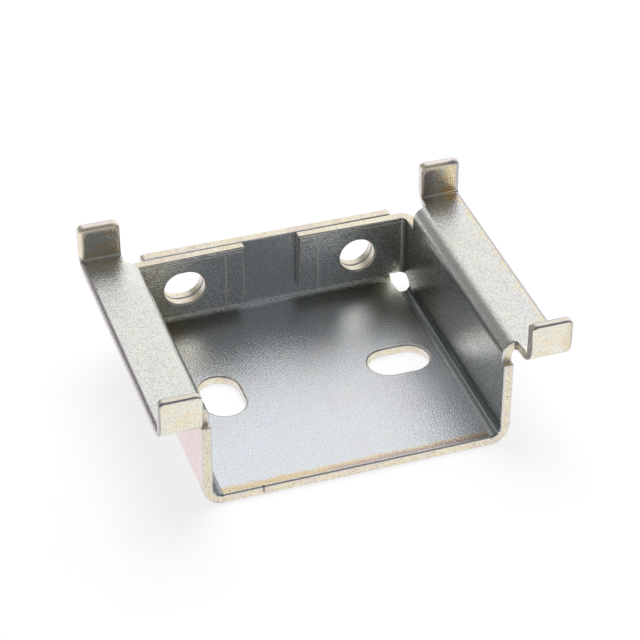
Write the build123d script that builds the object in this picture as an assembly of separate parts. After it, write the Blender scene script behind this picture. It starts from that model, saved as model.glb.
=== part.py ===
from build123d import *
import os

# Tray-shaped mounting bracket, folded from one stamped blank of zinc-plated steel sheet.
# X runs across the tray, Y from its open front edge to its rear wall, and Z up. The origin
# is under the middle of the bracket's bounding box, on the plane that it stands on. Until
# the last step, Y is measured from the front edge of the tray's floor.

# Sheet
sheet = 1.5  # thickness of the blank
lap_gap = 0.1  # air between the two layers of the rear wall

# Tray
tray_width = 46.2  # over the side walls
tray_depth = 43.4  # front edge of the floor to the outer face of the rear wall
rear_height = 13.7  # top of both layers of the rear wall
flap_width = 40.0  # outer layer of the rear wall, folded up from the floor
lap_opening = 8.6  # between the free ends of the two laps of the inner layer
lap_foot = 3.5  # lower edge of the laps
flap_corner = 0.6  # upper corners of the outer layer

# Rails, the flanges folded outward along the tops of the side walls
rail_width = 60.0  # over the rails' outer edges
rail_height = 17.4  # top face of the rails
step_height = 14.05  # where the front edge of a side wall steps back
step_depth = 1.0  # how far it steps back, to where the rail starts

# Tabs, turned up at both ends of each rail
tab_overhang = 3.9  # front tabs' outer face, ahead of the floor's front edge
tab_span = 44.7  # over the outer faces of a front and a rear tab
tab_rise = 5.6  # above the rail's top face

# Inner radii of the bends
floor_bend = 1.6
flap_bend = 1.2
lap_bend = 0.8
rail_bend = 0.7
tab_crease = 0.4  # the tabs are struck sharp, which thins the sheet there
tab_bend = 3.2  # outer radius at the same crease

# Reliefs and rounded corners
opening_reach = 1.8  # how far the openings below the laps reach ahead of the laps' bends
relief_radius = 0.4  # corners where the tabs leave the rails
relief_lead = 0.1  # flat that is left between a rear relief and the bend of its tab
opening_radius = 0.8  # corners of the openings below the laps
tab_corner = 0.9  # upper corners of the tabs
lap_corner = 1.0  # lower free corners of the laps

# Fixing holes
hole_spacing = 27.8  # across the tray, centre to centre
wall_hole_height = 8.2  # centres of the holes in the rear wall
wall_hole_width = 5.6  # diameter of the round hole on the right
wall_hole_play = 0.8  # how much longer than wide the hole on the left is
slot_width = 6.3
slot_length = 9.5
slot_depth = 21.6  # centres of the floor slots, behind the floor's front edge

# Places that follow from the sizes above
half_tray = tray_width / 2
half_flap = flap_width / 2
half_rail = rail_width / 2
rail_inside = half_tray + rail_bend  # a rail is flat from here to its outer edge
rail_under = rail_height - sheet
tab_top = rail_height + tab_rise
tab_rear = tab_span - tab_overhang
lap_face = tray_depth - sheet - lap_gap  # face of the laps against the flap
lap_start = lap_face - sheet - lap_bend  # where the side walls turn into the laps
opening_edge = lap_start - opening_reach
rail_end = tab_rear - tab_bend - relief_lead - relief_radius  # where the reliefs start
rearmost = max(tray_depth, tab_rear)
through = 4 * sheet  # how far the punches run past the sheet


def folded(points, radii):
    """Section of the sheet, which lies to the left of a line round its bends.

    A bend to the left has its outer radius on the line, and one to the right its inner one.
    """
    line = FilletPolyline(*points, radius=radii)
    return make_face(offset(line, amount=sheet, side=Side.LEFT).edges())


def tray():
    """Floor, side walls and the bends above them, cut off where the rails turn flat."""
    section = folded(
        [
            (-half_rail, rail_under),
            (-half_tray, rail_under),
            (-half_tray, 0),
            (half_tray, 0),
            (half_tray, rail_under),
            (half_rail, rail_under),
        ],
        [rail_bend, floor_bend + sheet, floor_bend + sheet, rail_bend],
    )
    body = Pos(0, lap_start, 0) * extrude(Plane.XZ * section, lap_start)
    return body & Box(2 * rail_inside, 2 * tray_depth, 2 * rail_height)


def rail():
    """Flat of the right-hand rail with the tabs at its ends, as one strip."""
    strip_height = tab_top - rail_under
    outside = Pos(-tab_overhang, rail_under) * Rectangle(tab_span, strip_height, align=Align.MIN)
    outside = fillet(outside.vertices().group_by(Axis.Y)[0], tab_bend)
    hollow = Pos(sheet - tab_overhang, rail_height) * Rectangle(
        tab_span - 2 * sheet, strip_height, align=Align.MIN
    )
    hollow = fillet(hollow.vertices().group_by(Axis.Y)[0], tab_crease)
    section = outside - hollow
    strip = Pos(rail_inside, 0, 0) * extrude(Plane.YZ * section, half_rail - rail_inside)
    return fillet(strip.edges().filter_by(Axis.Y).group_by(Axis.Z)[-1], tab_corner)


def flap():
    """Outer layer of the rear wall, folded up from the floor between the rear openings."""
    section = folded(
        [(lap_start, 0), (tray_depth, 0), (tray_depth, rear_height)],
        [flap_bend + sheet],
    )
    leaf = extrude(Plane.YZ * section, half_flap, both=True)
    return fillet(leaf.edges().filter_by(Axis.Y).group_by(Axis.Z)[-1], flap_corner)


def lap():
    """Right-hand half of the rear wall's inner layer, folded in from the side wall."""
    section = folded(
        [(half_tray, opening_edge), (half_tray, lap_face), (lap_opening / 2, lap_face)],
        [lap_bend + sheet],
    )
    leaf = Pos(0, 0, lap_foot) * extrude(section, rear_height - lap_foot)
    free_corners = leaf.edges().filter_by(Axis.Y).group_by(Axis.X)[0]
    return fillet(free_corners.sort_by(Axis.Z)[0], lap_corner)


def rail_relief(y, ahead, height):
    """Punch that frees the tabs from the side walls, above a height and beyond y."""
    length = tray_depth
    middle = y - length / 2 if ahead else y + length / 2
    outline = Pos(0, middle) * Rectangle(2 * rail_inside, length)
    corners = outline.vertices().group_by(Axis.Y)[-1 if ahead else 0]
    outline = fillet(corners, relief_radius)
    return Pos(0, 0, height) * extrude(outline, rail_height)


def rear_opening():
    """Punch for the opening at the tray's right-hand rear corner, below the lap."""
    width = half_rail - half_flap
    length = rearmost - opening_edge + through
    punch = Pos(half_flap, opening_edge, -through) * Box(
        width, length, lap_foot + through, align=Align.MIN
    )
    front_edges = punch.faces().sort_by(Axis.Y)[0].edges()
    inner_edge = front_edges.filter_by(Axis.Z).sort_by(Axis.X)[0]
    upper_edge = front_edges.filter_by(Axis.X).sort_by(Axis.Z)[-1]
    return fillet([inner_edge, upper_edge], opening_radius)


def wall_holes():
    """Punches for the round and the long hole through both layers of the rear wall."""
    side = hole_spacing / 2
    wall = Plane.XZ.offset(-rearmost - through)
    depth = rearmost - lap_start + 2 * through
    round_hole = Pos(side, wall_hole_height) * Circle(wall_hole_width / 2)
    long_hole = SlotCenterToCenter(wall_hole_play, wall_hole_width)
    long_hole = Pos(-side, wall_hole_height) * long_hole
    return extrude(wall * round_hole, depth) + extrude(wall * long_hole, depth)


def floor_slots():
    """Punches for the floor's two slots, of one size and square to each other."""
    side = hole_spacing / 2
    slot = SlotOverall(slot_length, slot_width)
    across = Pos(side, slot_depth) * slot
    along = Pos(-side, slot_depth) * Rot(0, 0, 90) * slot
    return extrude(across + along, through, both=True)


def bracket():
    """The whole folded sheet as one solid."""
    body = tray()
    body -= rail_relief(step_depth, True, step_height)
    body -= rail_relief(rail_end, False, rear_height)
    opening = rear_opening()
    body -= opening + mirror(opening, Plane.YZ)
    body += flap()
    for piece in (rail(), lap()):
        body += piece
        body += mirror(piece, Plane.YZ)
    body -= wall_holes() + floor_slots()
    return Pos(0, (tab_overhang - rearmost) / 2, 0) * body


os.makedirs("parts", exist_ok=True)
export_step(bracket(), "parts/bracket.step")
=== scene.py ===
import math

import bpy
from mathutils import Matrix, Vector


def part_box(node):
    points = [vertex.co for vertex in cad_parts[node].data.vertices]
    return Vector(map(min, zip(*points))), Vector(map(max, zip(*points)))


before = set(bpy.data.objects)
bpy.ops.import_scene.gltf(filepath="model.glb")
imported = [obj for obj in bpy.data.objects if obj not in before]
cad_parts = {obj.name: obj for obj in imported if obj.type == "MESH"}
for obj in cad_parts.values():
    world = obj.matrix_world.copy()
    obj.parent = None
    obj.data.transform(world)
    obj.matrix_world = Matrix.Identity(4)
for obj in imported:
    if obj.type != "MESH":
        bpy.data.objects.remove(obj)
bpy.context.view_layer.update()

MM = 0.001

# The bracket, in mm in the frame's own axes. What can come from its box does.
low, high = (tuple(corner / MM for corner in end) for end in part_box("bracket"))
SHEET = 1.5  # thickness
TAB_OVERHANG = 3.9  # front tabs' outer face, ahead of the floor's front edge
TAB_SPAN = 44.7  # over the outer faces of a front and a rear tab
RAIL_EDGE = high[0]  # outer edge of the right-hand rail
RAIL_MIDDLE = low[1] + TAB_SPAN / 2  # midway between a rail's two tabs
FRONT_EDGE = low[1] + TAB_OVERHANG  # sheared front edge of the floor

# Rolled edges
SLIVER = 0.001 * MM  # corners that are closer than this are one corner
DEPTH_STEP = 0.01 * MM  # how far behind a face its thickness is measured from
THICKNESS_PLAY = 0.2 * MM  # a face with more than this over the sheet behind it is cut
UPPER_POINT = (0, 0, 60 * MM)  # skin that faces this point is the upper side
OUTER_PART = 24 * MM  # the rails and tabs are beyond this on either side
SHARP = math.radians(30)
FLAT = math.radians(1)  # faces that meet at less than this are one
ROLL = 0.6 * MM  # the widest roll, on the upper edges of rails and tabs
ROLL_STEPS = 4
UPPER_SHARE = {"tray": 0.5, "rails": 1.0}  # rolls on the upper side, as shares of ROLL
LOWER_SHARE = {"tray": 0.3, "rails": 0.5}  # and on all other edges
SHORTEST_ROLLED = {"tray": 0.15 * MM, "rails": 0.01 * MM}
FLAT_FACE_WEIGHT = 100  # how far the flats' shading outweighs the rolls'

# Finish: noise in cells for each mm, and how deep and how glossy the grain is
GRAIN = 4.6
SPECKLE = 6.0
HUE = 5.0
HUE_SHIFT = (9.0, 5.0, 3.0)  # keeps the hues apart from the speckle
PATCHES = 0.7
BLOTCHES = 0.35
DRIFT = 0.12
STRIPES = (2.4, 0.25, 1.0)  # short along the sheared edges, long across them
BUMP_DEPTH = 0.05 * MM
BLOTCH_DEPTH = 0.5  # against the grain's
GLOSSY = (0.13, 0.2)  # roughness over the grain
DULL = 0.45  # roughness of cut faces, tool marks and the painted highlight lines
HAZE = 0.42
HAZE_SHARE = 0.3

# Tones of the zinc, and of the painted shade and painted highlights laid over it
TONES = {
    "floor": (0.70, 0.755, 0.81),
    # painted shade on the tray's inner walls, with a greener tint
    "shaded_walls": (0.64, 0.68, 0.69),
    "rear_wall": (0.70, 0.79, 0.86),
    "rails": (0.70, 0.72, 0.68),
    "rails_rear": (0.80, 0.82, 0.79),
    "blotches": (0.79, 0.75, 0.66),
    "drift": (0.72, 0.70, 0.75),
    # olive tint with painted shade in the tray's rear corners, darkest at the right
    "rear_corner_right_olive_and_shade": (0.52, 0.56, 0.50),
    "rear_corner_left_olive_and_shade": (0.71, 0.68, 0.50),
    # dark painted shade at the rear of the right wall
    "right_wall_rear_shade": (0.27, 0.26, 0.21),
    "tabs": (0.97, 0.92, 0.77),
    "tabs_yellow": (0.96, 0.82, 0.58),
    "tabs_green": (0.82, 0.88, 0.80),
    "rear_tabs": (0.66, 0.70, 0.64),
    "rear_tabs_brown": (0.76, 0.62, 0.44),
    "rear_tab_gold": (0.98, 0.76, 0.40),
    "rear_tab_purple": (0.72, 0.52, 0.60),
    # painted shade on the inner side of the right rear tab
    "rear_tab_shade": (0.44, 0.34, 0.32),
    "rear_tab_fringe": (0.95, 0.86, 0.72),
    "rail_edge": (0.84, 0.70, 0.46),
    "left_side": (0.97, 0.75, 0.76),
    "left_side_specks": (0.40, 0.33, 0.38),
    "front_yellow": (0.80, 0.60, 0.32),
    # olive tint with painted shade along the front edge's rolled slope
    "front_olive_and_shade": (0.54, 0.46, 0.28),
    "front_purple": (0.50, 0.37, 0.35),
    "bright_specks": (1.0, 1.0, 0.97),
    "dark_specks": (0.22, 0.22, 0.21),
    "warm_grain": (0.85, 0.74, 0.52),
    "cool_grain": (0.60, 0.70, 0.82),
    "rolled": (0.72, 0.70, 0.68),
    # darker rolls on the rails: their own tone with painted shade
    "rolled_rails_and_shade": (0.52, 0.49, 0.50),
    # painted shade in the bends between the tray's floor and walls
    "bend_shade": (0.34, 0.36, 0.36),
    # painted highlight along the crease of the floor-to-wall bends
    "crease_highlight": (0.84, 0.92, 1.0),
    # die marks, and the painted highlights along the laps' edges
    "tool_marks_and_highlights": (0.95, 0.92, 0.86),
    "nick": (0.3, 0.28, 0.25),
    "cut_yellow": (0.88, 0.80, 0.58),
    "cut_cream": (0.92, 0.88, 0.74),
    "cut_pink": (0.82, 0.68, 0.64),
    "cut_specks": (0.45, 0.40, 0.36),
    "cut_pits": (0.45, 0.38, 0.34),
    "cut_left": (0.93, 0.89, 0.90),
    "cut_tops_rear": (0.86, 0.80, 0.82),
    "cut_tops_front": (0.80, 0.76, 0.64),
}

# Masks: where each starts, where it is full and, if that isn't 1, how full. The places
# are in mm: up the bracket, from front to rear, from left to right, and out from its
# middle to both sides. The levels are those of a noise.
HEIGHTS = {
    "rails": (14.5, 17.0),
    "tray": (16.5, 14.5),
    "nick": (0.4, 0.6),
    "above_floor": (2.0, 3.5),
    "above_bend": (2.2, 4.0),
    "bend_shade": (4.5, 3.0),
    "front_band": (3.5, 2.5),
    "lap_foot": (4.4, 4.8),
    "lap_edge": (13.2, 13.0),
    "rail_top": (16.5, 17.3),
    "tab_foot": (17.5, 17.9),
    "tab_fringe": (17.9, 18.1),
    "tab_browned": (19.2, 18.2, 0.8),
}
DEPTHS = {
    "front_half": (1.0, -1.0),
    "rear_half": (-1.0, 1.0),
    "left_side": (6.0, -8.0),
    "tray_rear": (-2.0, 8.0),
    "right_wall": (3.0, 10.0),
    "rear_corner": (5.0, 18.0),
    "rails_rear": (7.0, 14.0),
    "rear_tab": (16.0, 18.5),
    "bend_end": (18.5, 17.5),
    "rear_wall": (18.5, 20.0),
    "tab_fringe": (19.0, 19.3),
    "tab_fringe_end": (20.6, 20.2),
    "lap": (20.0, 20.4),
    "lap_end": (21.2, 20.9),
    "inside_flap": (23.2, 22.8),
}
ACROSS = {
    "outside_left": (-22.7, -22.9),
    "front_purple": (-8.0, 0.0),
    "left_half": (2.0, -2.0),
    "right_half": (-2.0, 2.0),
    "right_tab": (0.0, 1.0, 0.8),
    "right_wall": (21.2, 21.5),
    # span of the painted shade across the right rear tab
    "tab_shade": (26.2, 24.6),
    "tab_gold": (26.5, 28.6),
    "tab_purple": (28.8, 29.4, 0.7),
    "left_fringe": (29.0, 27.0),
    "rail_edge": (RAIL_EDGE - 1.6, RAIL_EDGE - 0.4, 0.8),
}
ASIDE = {
    "lap": (4.4, 4.6),
    "rear_corner": (9.0, 20.0),
    "bend_shade": (20.0, 20.2),
    "bend_end": (21.75, 21.65),
    "inside_walls": (22.8, 22.4),
    "rails": (23.0, 24.0),
    "rail_tops": (23.0, 24.0, 0.7),
}
FROM_FRONT_EDGE = {
    "nick": (0.35, 0.25),
    "purple": (1.2, 0.8),
    "olive": (1.7, 0.9),
    "yellow": (1.9, 1.0),
}
TAB = (17.5, 21.0)  # along a rail, from its middle
LEVELS = {
    "satin": (0.3, 0.7),
    "coarse": (0.46, 0.6),
    "bright_specks": (0.5, 0.72),
    "dark_specks": (0.56, 0.24),
    "left_specks": (0.38, 0.28),
    "cut_specks": (0.40, 0.28),
    "cut_pits": (0.42, 0.3, 0.8),
    "warm": (0.55, 0.75, 0.5),
    "cool": (0.45, 0.25, 0.5),
    "yellow": (0.5, 0.65, 0.7),
    "green": (0.45, 0.3, 0.6),
    "brown": (0.48, 0.6),
    "blotches": (0.42, 0.68),
    "pink": (0.45, 0.62, 0.6),
    "drift": (0.5, 0.7, 0.5),
    "stripes": (0.35, 0.65),
}
ROLLED_TURN = (0.996, 0.985)  # cosine of a rolled face's turn from its flat
FACES_LEFT = (-0.8, -0.95, 0.7)
FACES_UP = (0.8, 0.95)
BLOTCHES_SHARE = (0.25, 0.6)  # in the tray and on the rails
BRIGHT_SHARE = (0.4, 1.0)  # in the open and in the shade
DARK_SHARE = (0.6, 1.0)
RAIL_RAGGED = 3.0  # how far the blotches sway the bands beside the edges, in mm
FRONT_RAGGED = 1.5

# Lines: the middle and half the width of each, in mm. The die marks and the nick are marks on the
# sheet; the lines along the lap's edges and the crease are painted highlights.
DIE_MARKS = (7.4, 0.16)  # aside
LAP_FREE_EDGE_HIGHLIGHT = (-4.5, 0.16)  # across; painted highlight on the lap's free edge
LAP_UPPER_EDGE_HIGHLIGHT = (13.05, 0.16)  # height; painted highlight on the lap's upper edge
CREASE_HIGHLIGHT = (2.02, 0.1)  # height of the painted highlight along the bends' crease
NICK = (-14.25, 0.22)  # across
LINE_CORE = 0.4  # share of a line's width that is full

# Fringe on the inner face of the rear-left tab, outside a square with rounded corners
FRINGE_MIDDLE = 26.7
FRINGE_HALF = 2.5
FRINGE_FOOT = 19.5
FRINGE_RISE = 2.6
FRINGE_POWER = 6.0  # the higher, the squarer
FRINGE_EDGE = (0.95, 1.1)
FRINGE_SWAY = 0.8

# Camera, matched to the photograph's viewing angle
CAMERA_PLACE = (-0.08991, -0.26455, 0.220093)
CAMERA_YAW = math.radians(18.916)
CAMERA_DOWN = math.radians(36.487)
CAMERA_ROLL = math.radians(0.268)
CAMERA_LENS = 134.24
CAMERA_SENSOR = 36.0
CAMERA_NEAR = 0.01

# Studio
FLOOR_HALF = 3.0
FLOOR_DROP = 0.02 * MM  # keeps the floor off the bracket's underside
FLOOR_TONE = (0.9, 0.9, 0.9)
FLOOR_GLOW = 0.8  # share of the floor that the camera sees as white
ROOM_LEVEL = 0.23
SOFTBOX_PLACE = (0.1, 0.2, 0.7)
SOFTBOX_SIZE = 0.5
SOFTBOX_POWER = 5.0


class Graph:
    """Short calls that add linked nodes to one tree."""

    def __init__(self, tree):
        self.tree = tree
        tree.nodes.clear()

    def node(self, kind, inputs=None, **settings):
        made = self.tree.nodes.new(kind)
        for name, value in settings.items():
            setattr(made, name, value)
        for name, value in (inputs or {}).items():
            self.feed(made.inputs[name], value)
        return made

    def feed(self, socket, value):
        if isinstance(value, bpy.types.NodeSocket):
            self.tree.links.new(value, socket)
        else:
            socket.default_value = value

    def math(self, operation, *values):
        inputs = dict(enumerate(values))
        return self.node("ShaderNodeMath", inputs, operation=operation).outputs[0]

    def vector(self, operation, *values):
        inputs = dict(enumerate(values))
        made = self.node("ShaderNodeVectorMath", inputs, operation=operation)
        number = operation in ("DOT_PRODUCT", "DISTANCE")
        return made.outputs["Value" if number else "Vector"]

    def scaled(self, value, factor):
        inputs = {"Vector": value, "Scale": factor}
        return self.node("ShaderNodeVectorMath", inputs, operation="SCALE").outputs[0]

    def split(self, value):
        return self.node("ShaderNodeSeparateXYZ", {0: value}).outputs

    def mix(self, factor, first, second):
        """A change of colour from first to second."""
        made = self.node("ShaderNodeMix", data_type="RGBA")
        self.feed(made.inputs[0], factor)
        self.feed(made.inputs[6], first)
        self.feed(made.inputs[7], second)
        return made.outputs[2]

    def blend(self, factor, first, second):
        """A change of number from first to second."""
        made = self.node("ShaderNodeMix", data_type="FLOAT")
        self.feed(made.inputs[0], factor)
        self.feed(made.inputs[2], first)
        self.feed(made.inputs[3], second)
        return made.outputs[0]

    def noise(self, place, scale, detail=1.0, roughness=0.5):
        inputs = {"Vector": place, "Scale": scale, "Detail": detail, "Roughness": roughness}
        return self.node("ShaderNodeTexNoise", inputs).outputs[0]

    def climb(self, value, start, end, last=1.0):
        """A smooth change from 0 to last as value goes from start to end."""
        inputs = {0: value, 1: start, 2: end, 4: last}
        made = self.node("ShaderNodeMapRange", inputs, interpolation_type="SMOOTHSTEP")
        return made.outputs[0]

    def line(self, value, middle, half):
        """A thin line, full near the middle and gone at half its width from it."""
        off = self.math("ABSOLUTE", self.math("SUBTRACT", value, middle))
        return self.climb(off, half, half * LINE_CORE)

    def any_of(self, *masks):
        total = masks[0]
        for mask in masks[1:]:
            total = self.math("MAXIMUM", total, mask)
        return total

    def all_of(self, *masks):
        total = masks[0]
        for mask in masks[1:]:
            total = self.math("MULTIPLY", total, mask)
        return total

    def layered(self, tone, *layers):
        """A tone with others laid over it in turn, each by its name and its masks."""
        for name, *masks in layers:
            tone = self.mix(self.all_of(*masks), tone, colour(*TONES[name]))
        return tone


def colour(red, green, blue):
    return (red, green, blue, 1.0)


def sort_faces():
    """Geometry nodes that tell the sheet's two skins from its cut faces.

    A face with the sheet's thickness behind it is skin, and any other is cut. Skin that
    faces a point high above the tray is the upper side. Each sharp edge gets its roll: the
    upper edges of rails and tabs have the widest, and very short edges have none.
    """
    group = bpy.data.node_groups.new("sort_faces", "GeometryNodeTree")
    for way in ("INPUT", "OUTPUT"):
        group.interface.new_socket("Geometry", in_out=way, socket_type="NodeSocketGeometry")
    g = Graph(group)
    solid = g.node("NodeGroupInput").outputs[0]

    normal = g.node("GeometryNodeInputNormal").outputs["True Normal"]
    place = g.node("GeometryNodeInputPosition").outputs[0]
    ray = {
        "Target Geometry": solid,
        "Source Position": g.vector("SUBTRACT", place, g.scaled(normal, DEPTH_STEP)),
        "Ray Direction": g.scaled(normal, -1.0),
        "Ray Length": 1.0,
    }
    behind = g.node("GeometryNodeRaycast", ray).outputs
    deep = g.math("GREATER_THAN", behind["Hit Distance"], SHEET * MM + THICKNESS_PLAY)
    cut = g.all_of(behind["Is Hit"], deep)
    skin = g.math("SUBTRACT", 1.0, cut)
    toward = g.vector("SUBTRACT", UPPER_POINT, place)
    facing_up = g.math("GREATER_THAN", g.vector("DOT_PRODUCT", normal, toward), 0.0)
    upper = g.all_of(skin, facing_up)

    def store(name, value, **settings):
        nonlocal solid
        kept = g.node("GeometryNodeStoreNamedAttribute", **settings)
        for socket, given in (("Geometry", solid), ("Name", name), ("Value", value)):
            g.feed(kept.inputs[socket], given)
        solid = kept.outputs[0]

    store("cut", cut, domain="FACE")
    store("upper", upper, domain="FACE")
    store("flat", normal, domain="FACE", data_type="FLOAT_VECTOR")

    ends = g.node("GeometryNodeInputMeshEdgeVertices").outputs
    ends = (ends["Position 1"], ends["Position 2"])
    middle = g.scaled(g.vector("ADD", *ends), 0.5)
    aside = g.math("ABSOLUTE", g.split(middle)[0])
    on_rails = g.math("GREATER_THAN", aside, OUTER_PART)

    def by_part(shares):
        return g.blend(on_rails, shares["tray"], shares["rails"])

    share = g.node("GeometryNodeInputNamedAttribute", {"Name": "upper"}).outputs[0]
    on_upper_side = g.math("COMPARE", share, 0.5, 0.1)  # upper skin on one side only
    rolled = g.blend(on_upper_side, by_part(LOWER_SHARE), by_part(UPPER_SHARE))
    length = g.vector("DISTANCE", *ends)
    long_enough = g.math("GREATER_THAN", length, by_part(SHORTEST_ROLLED))
    angle = g.node("GeometryNodeInputMeshEdgeAngle").outputs[0]
    sharp = g.math("GREATER_THAN", angle, SHARP)
    weight = g.all_of(sharp, rolled, long_enough)
    store("bevel_weight_edge", weight, domain="EDGE")
    store("sharp_edge", sharp, domain="EDGE")
    g.node("NodeGroupOutput", {0: solid})
    return group


def roll_edges(bracket):
    """Rounds the sheet's edges as shearing leaves them, with its CAD mesh untouched."""
    bracket.modifiers.new("weld", "WELD").merge_threshold = SLIVER
    bracket.modifiers.new("sort_faces", "NODES").node_group = sort_faces()
    planar = bracket.modifiers.new("planar", "DECIMATE")
    planar.decimate_type = "DISSOLVE"
    planar.angle_limit = FLAT
    bevel = bracket.modifiers.new("rolled_edges", "BEVEL")
    bevel.limit_method = "WEIGHT"
    bevel.width = ROLL
    bevel.segments = ROLL_STEPS
    bevel.use_clamp_overlap = False
    flats = bracket.modifiers.new("flats", "WEIGHTED_NORMAL")
    flats.mode = "FACE_AREA"
    flats.weight = FLAT_FACE_WEIGHT
    flats.keep_sharp = True


class Zinc(Graph):
    """Clear-to-yellow passivated zinc, by its place on the bracket, with painted shade and
    painted highlights in places.
    """

    def __init__(self, tree):
        super().__init__(tree)
        coordinates = self.node("ShaderNodeTexCoord").outputs["Object"]
        self.place = self.scaled(coordinates, 1 / MM)
        self.x, self.y, self.z = self.split(self.place)
        self.aside = self.math("ABSOLUTE", self.x)
        self.inward = self.math("SUBTRACT", self.y, FRONT_EDGE)
        self.normal = self.node("ShaderNodeNewGeometry").outputs["True Normal"]

        self.grain = self.noise(self.place, GRAIN)
        self.speckle = self.noise(self.place, SPECKLE, roughness=0.6)
        self.patches = self.noise(self.place, PATCHES, detail=2.0, roughness=0.6)
        self.blotch = self.noise(self.place, BLOTCHES, detail=3.0, roughness=0.55)
        self.uneven = self.math("SUBTRACT", self.blotch, 0.5)

        self.on_rail = self.high("rails")
        self.in_tray = self.high("tray")
        flat = self.node("ShaderNodeAttribute", attribute_name="flat").outputs["Vector"]
        turn = self.vector("DOT_PRODUCT", self.normal, flat)
        self.rolled = self.climb(turn, *ROLLED_TURN)

    def high(self, name):
        return self.climb(self.z, *HEIGHTS[name])

    def deep(self, name):
        return self.climb(self.y, *DEPTHS[name])

    def across(self, name):
        return self.climb(self.x, *ACROSS[name])

    def out_to(self, name):
        return self.climb(self.aside, *ASIDE[name])

    def level(self, noise, name):
        return self.climb(noise, *LEVELS[name])

    def by_part(self, tone):
        """Bluish in the tray, greener on the rails, olive in the rear corners, with painted shade
        on the inner walls, in the rear corners and, darkest, at the rear of the right wall.
        """
        in_tray, on_rail = self.in_tray, self.on_rail
        blotches = self.blend(on_rail, *BLOTCHES_SHARE)
        drift = self.noise(self.place, DRIFT)
        corner = self.all_of(self.out_to("rear_corner"), self.deep("rear_corner"), in_tray)
        return self.layered(
            tone,
            # painted shade on the inner walls
            ("shaded_walls", self.high("above_bend"), in_tray),
            ("rear_wall", self.deep("rear_wall"), in_tray),
            ("rails", on_rail),
            ("rails_rear", on_rail, self.deep("rails_rear")),
            ("blotches", self.level(self.blotch, "blotches"), blotches),
            ("drift", self.level(drift, "drift")),
            # olive tint and painted shade in the rear corners
            ("rear_corner_right_olive_and_shade", corner, self.across("right_half")),
            ("rear_corner_left_olive_and_shade", corner, self.across("left_half")),
            # dark painted shade at the rear of the right wall
            ("right_wall_rear_shade", self.across("right_wall"), in_tray, self.deep("right_wall")),
        )

    def on_tabs(self, tone):
        """Cream in front. Blue-grey and brown behind, with gold at the far right, and painted
        shade along the inner side of the right rear tab.
        """
        patches = self.patches
        from_middle = self.math("ABSOLUTE", self.math("SUBTRACT", self.y, RAIL_MIDDLE))
        tab = self.all_of(self.climb(from_middle, *TAB), self.on_rail)
        rear_tab = self.all_of(tab, self.deep("rear_tab"))
        browned = self.any_of(self.level(patches, "brown"), self.high("tab_browned"))
        return self.layered(
            tone,
            ("tabs", tab),
            ("tabs_yellow", tab, self.level(patches, "yellow")),
            ("tabs_green", tab, self.level(patches, "green")),
            ("rear_tabs", rear_tab),
            ("rear_tabs_brown", rear_tab, browned, self.high("tab_foot")),
            ("rear_tab_gold", rear_tab, self.across("tab_gold")),
            ("rear_tab_purple", rear_tab, self.across("tab_purple")),
            # painted shade on the right rear tab's inner side
            ("rear_tab_shade", rear_tab, self.across("tab_shade"), self.across("right_tab")),
        )

    def by_sheared_edges(self, tone):
        """Bands of stronger tint beside the edges where the sheet was sheared. The olive band at
        the front edge is partly painted shade on the edge's rolled slope.
        """
        swayed = self.math("ADD", self.x, self.math("MULTIPLY", self.uneven, RAIL_RAGGED))
        rail_edge = self.climb(swayed, *ACROSS["rail_edge"])
        left = self.all_of(self.across("outside_left"), self.deep("left_side"), self.in_tray)
        ragged = self.math("MULTIPLY", self.uneven, FRONT_RAGGED)
        from_edge = self.math("ADD", self.inward, ragged)
        low_down = self.high("front_band")

        def band(name):
            return self.all_of(self.climb(from_edge, *FROM_FRONT_EDGE[name]), low_down)

        return self.layered(
            tone,
            ("rail_edge", rail_edge, self.high("rail_top")),
            ("left_side", left),
            ("left_side_specks", left, self.level(self.speckle, "left_specks")),
            ("front_yellow", band("yellow")),
            # olive tint and painted shade by the front edge
            ("front_olive_and_shade", band("olive"), self.level(self.grain, "coarse")),
            ("front_purple", band("purple"), self.across("front_purple")),
        )

    def grained(self, tone):
        """Fine bright and dark specks, strongest inside the tray, in warm and cool hues."""
        shaded = self.all_of(
            self.any_of(self.high("above_floor"), self.deep("tray_rear")),
            self.in_tray,
            self.out_to("inside_walls"),
            self.deep("inside_flap"),
        )
        brightest = self.blend(shaded, *BRIGHT_SHARE)
        darkest = self.blend(shaded, *DARK_SHARE)
        hue = self.noise(self.vector("ADD", self.place, HUE_SHIFT), HUE)
        return self.layered(
            tone,
            ("bright_specks", self.climb(self.speckle, *LEVELS["bright_specks"], brightest)),
            ("dark_specks", self.climb(self.speckle, *LEVELS["dark_specks"], darkest)),
            ("warm_grain", self.level(hue, "warm")),
            ("cool_grain", self.level(hue, "cool")),
        )

    def tab_fringe(self):
        """Mask of the light fringe along the rear-left tab's inner face."""
        from_middle = self.math("ABSOLUTE", self.math("SUBTRACT", self.aside, FRINGE_MIDDLE))
        from_foot = self.math("MAXIMUM", self.math("SUBTRACT", self.z, FRINGE_FOOT), 0.0)
        total = self.math("MULTIPLY", self.uneven, FRINGE_SWAY)
        for distance, reach in ((from_middle, FRINGE_HALF), (from_foot, FRINGE_RISE)):
            share = self.math("POWER", self.math("DIVIDE", distance, reach), FRINGE_POWER)
            total = self.math("ADD", total, share)
        return self.all_of(
            self.climb(total, *FRINGE_EDGE),
            self.across("left_fringe"),
            self.deep("tab_fringe"),
            self.deep("tab_fringe_end"),
            self.high("tab_fringe"),
        )

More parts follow.
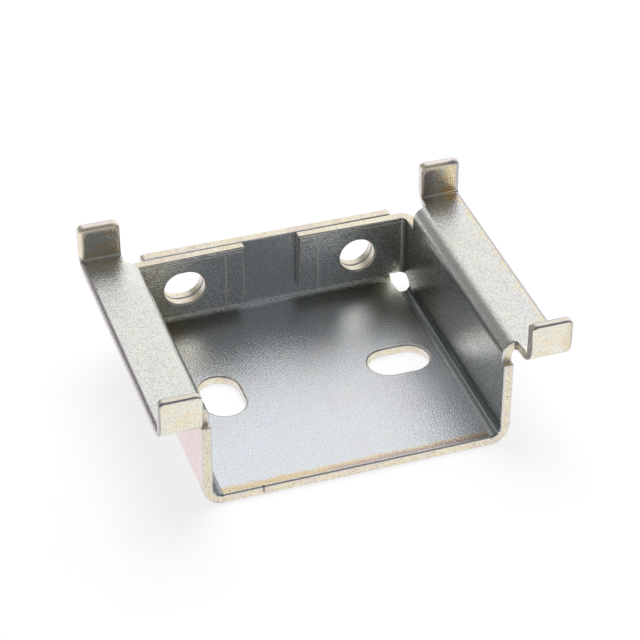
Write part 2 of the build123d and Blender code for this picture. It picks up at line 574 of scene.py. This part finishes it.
    def tool_marks_and_highlights(self):
        """Mask of fine bright lines on the laps: die marks that the tools left, and painted
        highlights along the laps' free and upper edges.
        """
        below_edge = self.high("lap_edge")
        die_marks = self.all_of(self.line(self.aside, *DIE_MARKS), below_edge)
        free_edge_highlight = self.all_of(
            self.line(self.x, *LAP_FREE_EDGE_HIGHLIGHT), self.high("lap_foot"), below_edge
        )
        upper_edge_highlight = self.all_of(self.line(self.z, *LAP_UPPER_EDGE_HIGHLIGHT), self.out_to("lap"))
        lines = self.any_of(die_marks, free_edge_highlight, upper_edge_highlight)
        return self.all_of(lines, self.deep("lap"), self.deep("lap_end"), self.in_tray)

    def cut_tone(self):
        """Tone of the cut faces: striated cream and yellow, pinker in patches."""
        stripes = self.noise(self.vector("MULTIPLY", self.place, STRIPES), 1.0)
        to_side, _, upward = self.split(self.normal)
        top = self.all_of(self.climb(upward, *FACES_UP), self.out_to("rail_tops"))
        return self.layered(
            colour(*TONES["cut_yellow"]),
            ("cut_cream", self.level(stripes, "stripes")),
            ("cut_pink", self.level(self.blotch, "pink")),
            ("cut_specks", self.level(self.speckle, "cut_specks")),
            ("cut_left", self.climb(to_side, *FACES_LEFT)),
            ("cut_tops_rear", top, self.deep("rear_half")),
            ("cut_tops_front", top, self.deep("front_half")),
            ("cut_pits", self.level(self.speckle, "cut_pits")),
        )

    def finish(self):
        """Puts the skin, the cut faces, the marks and the painted shade and highlights together,
        and ends the material.
        """
        # The floor-to-wall bends: painted shade, and a painted highlight along their crease.
        in_bend = self.all_of(
            self.out_to("bend_shade"), self.out_to("bend_end"), self.deep("bend_end")
        )
        # painted highlight along the bends' crease
        crease_highlight = self.all_of(in_bend, self.line(self.z, *CREASE_HIGHLIGHT))
        fringe = self.tab_fringe()
        marks_and_highlights = self.tool_marks_and_highlights()
        skin = colour(*TONES["floor"])
        for laid_over in (self.by_part, self.on_tabs, self.by_sheared_edges, self.grained):
            skin = laid_over(skin)
        skin = self.layered(
            skin,
            ("rolled", self.rolled),
            # the rails' rolls, darkened by painted shade
            ("rolled_rails_and_shade", self.rolled, self.out_to("rails")),
            # painted shade in the bends
            ("bend_shade", in_bend, self.high("bend_shade")),
            ("rear_tab_fringe", fringe),
            # painted highlight along the bends' crease
            ("crease_highlight", crease_highlight),
            # die marks and painted edge highlights
            ("tool_marks_and_highlights", marks_and_highlights),
        )
        at_edge = self.climb(self.inward, *FROM_FRONT_EDGE["nick"])
        nick = self.all_of(self.line(self.x, *NICK), at_edge, self.high("nick"))
        cut = self.node("ShaderNodeAttribute", attribute_name="cut").outputs["Fac"]
        cut = self.all_of(cut, self.math("SUBTRACT", 1.0, self.rolled))
        tone = self.layered(self.mix(cut, skin, self.cut_tone()), ("nick", nick))

        satin = self.blend(self.level(self.grain, "satin"), *GLOSSY)
        rough = self.blend(self.any_of(marks_and_highlights, crease_highlight, fringe, cut), satin, DULL)
        swell = self.math("MULTIPLY", self.blotch, BLOTCH_DEPTH)
        height = self.math("ADD", self.grain, swell)
        bump = {"Strength": 1.0, "Distance": BUMP_DEPTH, "Height": height}
        bump = self.node("ShaderNodeBump", bump).outputs[0]

        def metal(roughness):
            inputs = {"Base Color": tone, "Metallic": 1.0, "Roughness": roughness, "Normal": bump}
            return self.node("ShaderNodeBsdfPrincipled", inputs).outputs[0]

        hazy = self.node("ShaderNodeMixShader", {0: HAZE_SHARE, 1: metal(rough), 2: metal(HAZE)})
        self.node("ShaderNodeOutputMaterial", {"Surface": hazy.outputs[0]})


def zinc():
    material = bpy.data.materials.new("zinc_plated_sheet")
    material.use_nodes = True
    Zinc(material.node_tree).finish()
    return material


def floor():
    """A wide pale floor that keeps the bracket's shadow."""
    half = FLOOR_HALF
    corners = [(-half, -half, 0), (half, -half, 0), (half, half, 0), (-half, half, 0)]
    mesh = bpy.data.meshes.new("floor")
    mesh.from_pydata(corners, [], [(0, 1, 2, 3)])
    stage = bpy.data.objects.new("floor", mesh)
    stage.location.z = -FLOOR_DROP
    bpy.context.collection.objects.link(stage)

    material = bpy.data.materials.new("floor")
    material.use_nodes = True
    g = Graph(material.node_tree)
    matte = g.node("ShaderNodeBsdfDiffuse", {"Color": colour(*FLOOR_TONE)})
    white = g.node("ShaderNodeEmission", {"Color": colour(1, 1, 1), "Strength": 1.0})
    rays = g.node("ShaderNodeLightPath").outputs
    seen = g.any_of(rays["Is Camera Ray"], rays["Is Transmission Ray"])
    part = g.any_of(g.math("MULTIPLY", seen, FLOOR_GLOW), rays["Is Glossy Ray"])
    mixed = g.node("ShaderNodeMixShader", {0: part, 1: matte.outputs[0], 2: white.outputs[0]})
    g.node("ShaderNodeOutputMaterial", {"Surface": mixed.outputs[0]})
    mesh.materials.append(material)


def studio():
    """A dim room with one broad, soft light beyond the bracket to the right.

    A weaker and smaller one is beyond it to the left, and a softbox is overhead.
    """
    world = bpy.data.worlds.new("studio")
    world.use_nodes = True
    g = Graph(world.node_tree)
    direction = g.node("ShaderNodeTexCoord").outputs["Generated"]

    def patch(azimuth, height, inner, outer, strength):
        """A soft round light: angles in degrees, full to inner and gone at outer."""
        azimuth, height = math.radians(azimuth), math.radians(height)
        middle = (
            math.sin(azimuth) * math.cos(height),
            math.cos(azimuth) * math.cos(height),
            math.sin(height),
        )
        closeness = g.vector("DOT_PRODUCT", direction, middle)
        start, end = math.cos(math.radians(outer)), math.cos(math.radians(inner))
        return g.climb(closeness, start, end, last=strength)

    broad = patch(azimuth=37, height=30, inner=27, outer=53, strength=0.93)
    weak = patch(azimuth=-38, height=18, inner=12, outer=28, strength=0.12)
    level = g.math("ADD", g.math("ADD", broad, weak), ROOM_LEVEL)
    sky = g.node("ShaderNodeBackground", {"Color": colour(1, 1, 1), "Strength": level})
    g.node("ShaderNodeOutputWorld", {"Surface": sky.outputs[0]})
    bpy.context.scene.world = world

    lamp = bpy.data.lights.new("softbox", "AREA")
    lamp.shape = "SQUARE"
    lamp.size = SOFTBOX_SIZE
    lamp.energy = SOFTBOX_POWER
    box = bpy.data.objects.new("softbox", lamp)
    box.location = SOFTBOX_PLACE
    box.visible_glossy = False
    bpy.context.collection.objects.link(box)


def camera():
    lens = bpy.data.cameras.new("camera")
    lens.lens = CAMERA_LENS
    lens.sensor_width = CAMERA_SENSOR
    lens.clip_start = CAMERA_NEAR
    seat = bpy.data.objects.new("camera", lens)
    turn = Matrix.Rotation(-CAMERA_YAW, 4, "Z")
    tilt = Matrix.Rotation(math.pi / 2 - CAMERA_DOWN, 4, "X")
    roll = Matrix.Rotation(CAMERA_ROLL, 4, "Z")
    seat.matrix_world = Matrix.Translation(CAMERA_PLACE) @ turn @ tilt @ roll
    bpy.context.collection.objects.link(seat)
    bpy.context.scene.camera = seat


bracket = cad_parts["bracket"]
finish = zinc()
for slot in bracket.material_slots:
    slot.material = finish
roll_edges(bracket)
floor()
studio()
camera()

bpy.context.scene.view_settings.view_transform = "Standard"
